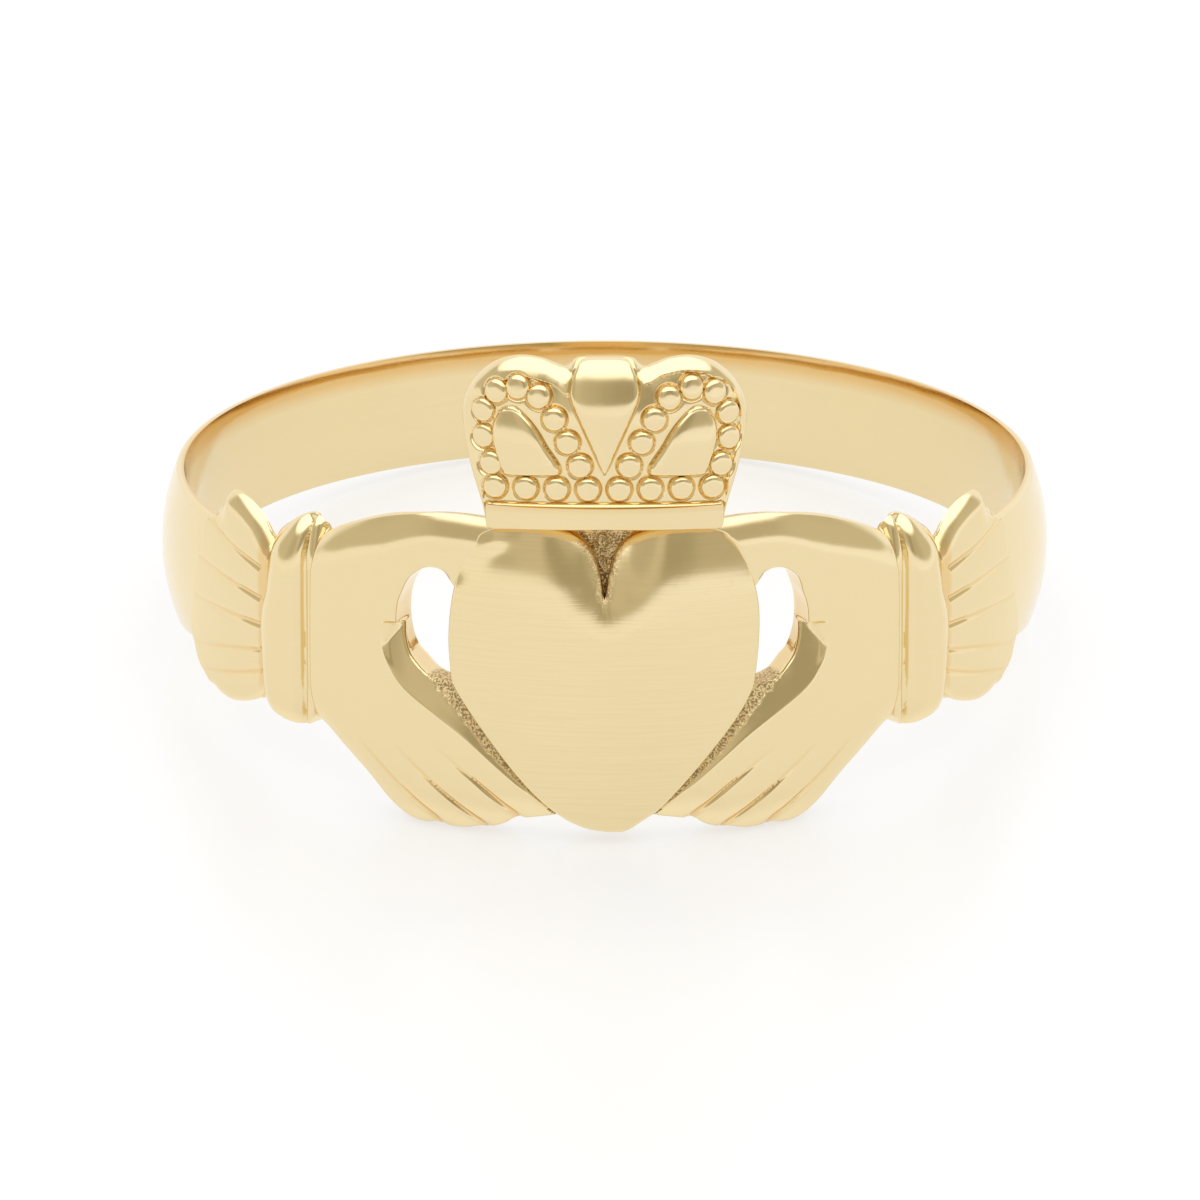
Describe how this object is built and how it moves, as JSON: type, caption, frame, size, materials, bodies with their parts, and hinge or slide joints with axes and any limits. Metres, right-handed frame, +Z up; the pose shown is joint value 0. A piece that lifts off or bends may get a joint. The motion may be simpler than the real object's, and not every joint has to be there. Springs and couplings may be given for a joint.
{
  "type": "claddagh ring",
  "caption": "Gold finger ring with a raised heart held between two pierced hands, a beaded crown above it, pleated cuffs and a half-round band that narrows to the back.",
  "frame": {"origin": "on the ground under the middle of the ring, which lies on its side on its finger tips and the lower back edge of its band", "axes": "+Z up from the ground, +Y from the heart to the back of the band, +X to the right as seen from in front of the heart; the finger hole's axis leans 8.21 degrees from +Z towards +Y"},
  "size_m": [0.02, 0.0207, 0.0109],
  "materials": {
    "gold": "polished pale yellow gold with a light satin on the heart and a rough cast floor in the deepest recesses"
  },
  "bodies": {
    "root": {"ring": "gold"}
  },
  "joints": []
}
